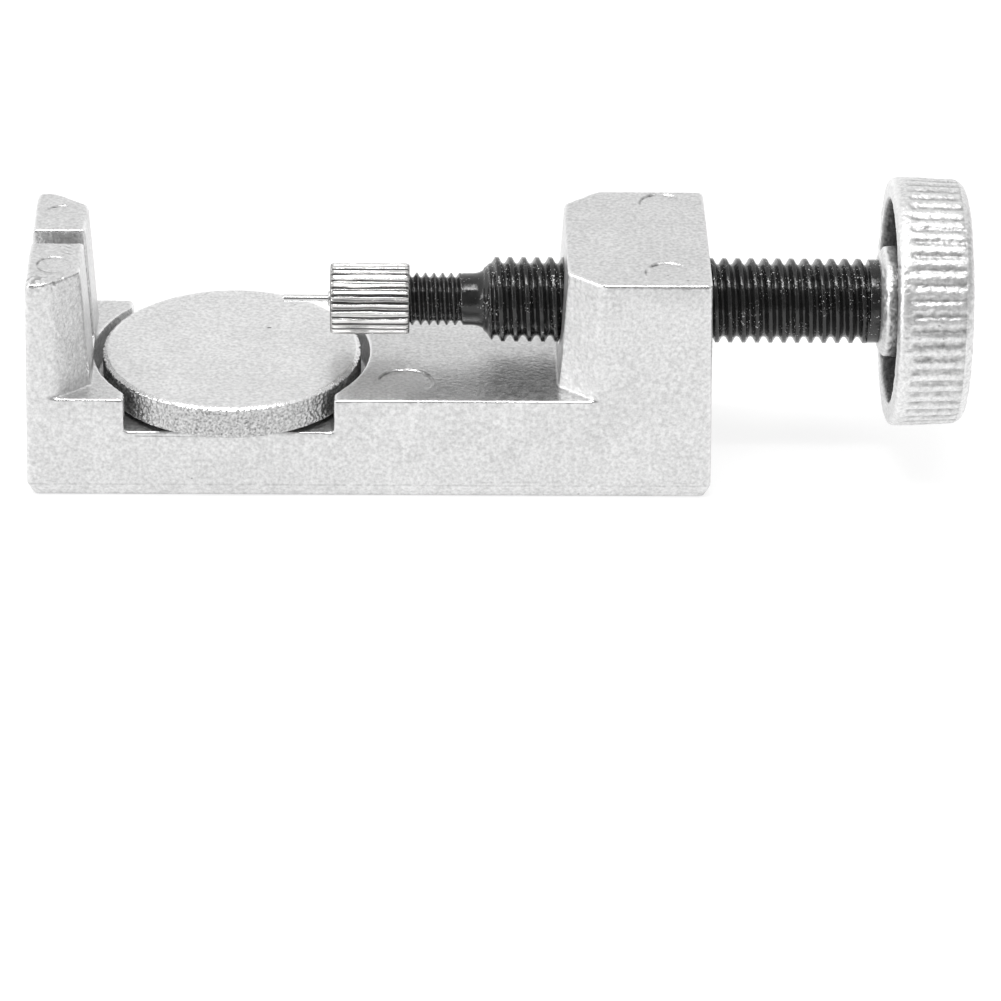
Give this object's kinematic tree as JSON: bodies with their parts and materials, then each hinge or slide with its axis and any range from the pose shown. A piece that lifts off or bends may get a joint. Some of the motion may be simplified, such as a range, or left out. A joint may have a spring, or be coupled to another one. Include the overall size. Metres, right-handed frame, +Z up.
{
  "type": "watch bracelet link pin press",
  "caption": "Small bench press that drives the link pins out of a metal watch bracelet: cast body with a slotted fork, round screw-height table, threaded spindle with knob, chuck and push pin.",
  "frame": {"origin": "middle of the base's footprint, on the surface the press stands on", "axes": "+X along the spindle from fork to knob, -Y the front, +Z up"},
  "size_m": [0.0872, 0.0242, 0.0273],
  "materials": {
    "cast_body": "fine-grain blasted die-cast alloy, satin silver",
    "cast_table": "fine-grain blasted die-cast alloy, knurled rim",
    "stud_steel": "plain machined steel",
    "clip_steel": "spring steel, lightly oiled",
    "black_steel": "black-oxide rolled screw, semi-gloss",
    "cast_knob": "bright cast alloy, ribbed, glossy in the hollow",
    "bright_steel": "bright nickel-plated, straight knurl",
    "pin_steel": "ground hardened steel"
  },
  "bodies": {
    "body": {"body_casting": "cast_body"},
    "pin": {"push_pin": "pin_steel"},
    "spindle": {"spindle": "black_steel", "knob": "cast_knob"},
    "chuck": {"chuck_sleeve": "bright_steel"},
    "table_clip": {"table_retaining_ring": "clip_steel"},
    "table": {"table_disc": "cast_table", "table_stud": "stud_steel"}
  },
  "joints": [
    {"name": "spindle_advance", "type": "slide", "parent": "body", "child": "pin", "axis": [-1, 0, 0], "range_m": [-0.0138, 0.01474]},
    {"name": "spindle_turn", "type": "hinge", "parent": "pin", "child": "spindle", "pos_m": [0, 0, 0.01568], "axis": [-1, 0, 0], "range_deg": [-3960, 4230]},
    {"name": "chuck_release", "type": "slide", "parent": "spindle", "child": "chuck", "axis": [-1, 0, 0], "range_m": [0, 0.0052]},
    {"name": "table_rise", "type": "slide", "parent": "body", "child": "table_clip", "axis": [0, 0, 1], "range_m": [-0.0003, 0.00121]},
    {"name": "table_turn", "type": "hinge", "parent": "table_clip", "child": "table", "pos_m": [-0.01295, 0, 0.00723], "axis": [0, 0, 1], "range_deg": [-100, 432]}
  ],
  "couplings": [
    {"joint": "spindle_advance", "follows": "spindle_turn", "m_per_rad": 0.00019894},
    {"joint": "table_rise", "follows": "table_turn", "m_per_rad": 0.00015915}
  ]
}
